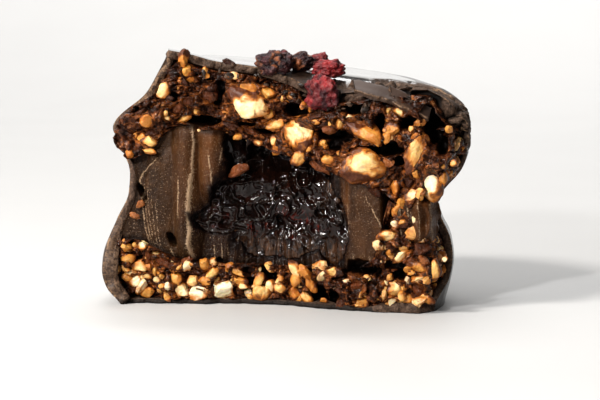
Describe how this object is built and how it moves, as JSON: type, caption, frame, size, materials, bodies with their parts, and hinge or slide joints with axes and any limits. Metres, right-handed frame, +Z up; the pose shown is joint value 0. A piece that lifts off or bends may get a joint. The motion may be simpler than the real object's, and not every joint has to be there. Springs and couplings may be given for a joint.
{
  "type": "alfajor",
  "caption": "Bitten sandwich cake of nut and date biscuits round caramel and a dark jam core, coated in dark chocolate, with dried berry pieces on top.",
  "frame": {"origin": "middle of the bounding box's underside, on the plane the cake rests on", "axes": "+Z up, +X along the bite to the right as seen by someone facing it, +Y away from them, so that the bitten face looks along -Y"},
  "size_m": [0.0618, 0.0394, 0.0422],
  "materials": {
    "chocolate": "smooth dark chocolate, softly glossy",
    "broken_chocolate": "dull snapped chocolate",
    "biscuit": "sticky crumb of dates and chopped nuts",
    "caramel": "soft dark caramel, drawn into ridges",
    "jam": "wet near-black berry jam",
    "berry": "dried dark red berry pieces"
  },
  "bodies": {
    "root": {"chocolate_coat": "chocolate", "lower_biscuit": "biscuit", "caramel": "caramel", "jam": "jam", "upper_biscuit": "biscuit", "chocolate_shard": "broken_chocolate", "berry_1": "berry", "berry_2": "berry", "berry_3": "berry", "berry_4": "berry", "berry_5": "berry", "berry_6": "berry"}
  },
  "joints": []
}
